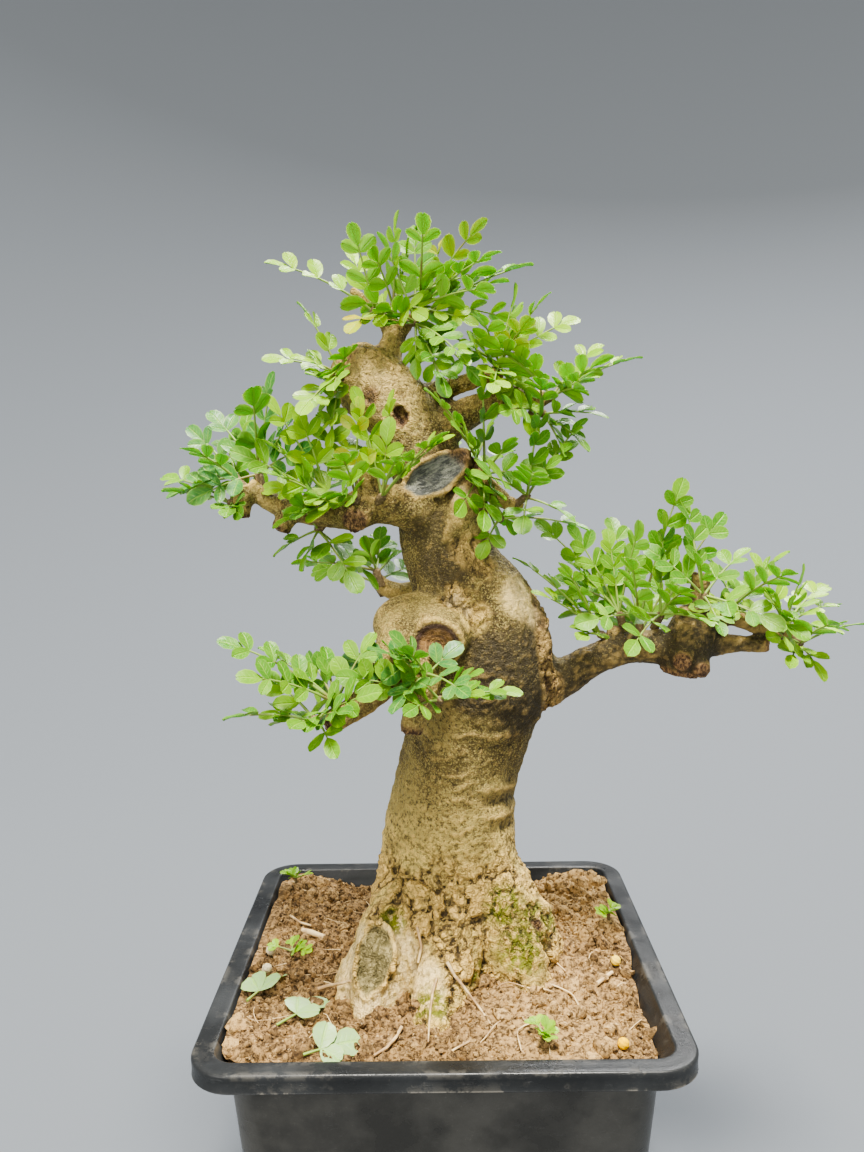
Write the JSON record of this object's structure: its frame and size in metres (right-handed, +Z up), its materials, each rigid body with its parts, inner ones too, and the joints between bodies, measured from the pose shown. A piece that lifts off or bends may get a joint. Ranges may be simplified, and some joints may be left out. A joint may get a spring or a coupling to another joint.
{
  "type": "hupeh ash bonsai",
  "caption": "Small trained ash tree with a thick leaning trunk, pruned branches and sprays of tiny pinnate leaves, in earth in a square black nursery pot.",
  "frame": {"origin": "centre of the pot's underside, on the plane that the pot stands on", "axes": "+Z up along the pot's centre line; +X to the right and -Y towards the viewer when the sawn burl and the weathered wound face the viewer; the pot's sides are along X and Y"},
  "size_m": [0.2835, 0.18, 0.4276],
  "materials": {
    "pot_plastic": "satin",
    "soil": "matte",
    "bark": "matte",
    "leaf_green": "satin",
    "leaf_blue_green": "satin",
    "leaf_fallen": "matte",
    "seedling": "satin",
    "pellet_yellow": "matte",
    "pellet_pale": "matte"
  },
  "bodies": {
    "root": {"pot": "pot_plastic", "soil": "soil", "tree": "bark", "spray_apex_left": "leaf_green", "spray_apex_top": "leaf_green", "spray_apex_right": "leaf_green", "spray_apex_low_right": "leaf_green", "spray_upper_right_top": "leaf_green", "spray_upper_right_end": "leaf_green", "spray_upper_right_low": "leaf_green", "spray_wound_right": "leaf_green", "spray_wound_under": "leaf_green", "spray_wound_arch": "leaf_green", "spray_shoulder_left": "leaf_green", "spray_left_blue": "leaf_blue_green", "spray_left_mid": "leaf_blue_green", "spray_left_low": "leaf_blue_green", "spray_front_upper_left": "leaf_green", "spray_front_left": "leaf_green", "spray_front_copper": "leaf_green", "spray_front_right": "leaf_green", "spray_hanging": "leaf_green", "spray_low_back_left": "leaf_green", "spray_low_back": "leaf_green", "spray_right_inner": "leaf_green", "spray_right_inner_up": "leaf_green", "spray_right_tall": "leaf_green", "spray_right_mid": "leaf_green", "spray_right_knob": "leaf_green", "spray_right_far_up": "leaf_green", "spray_right_end_up": "leaf_green", "spray_right_end": "leaf_green", "spray_low_left_long": "leaf_green", "spray_low_left": "leaf_green", "spray_low_front": "leaf_green", "spray_low_front_right": "leaf_green", "spray_right_back": "leaf_green", "spray_left_back": "leaf_blue_green", "spray_back_high": "leaf_green", "fallen_leaf_a": "leaf_fallen", "fallen_leaf_b": "leaf_fallen", "fallen_leaf_c": "leaf_fallen", "seedling_back": "seedling", "seedling_right": "seedling", "seedling_front": "seedling", "sprig_left": "seedling", "pellet_yellow": "pellet_yellow", "pellet_straw": "pellet_pale", "pellet_cream": "pellet_pale", "pellet_white": "pellet_pale"}
  },
  "joints": []
}
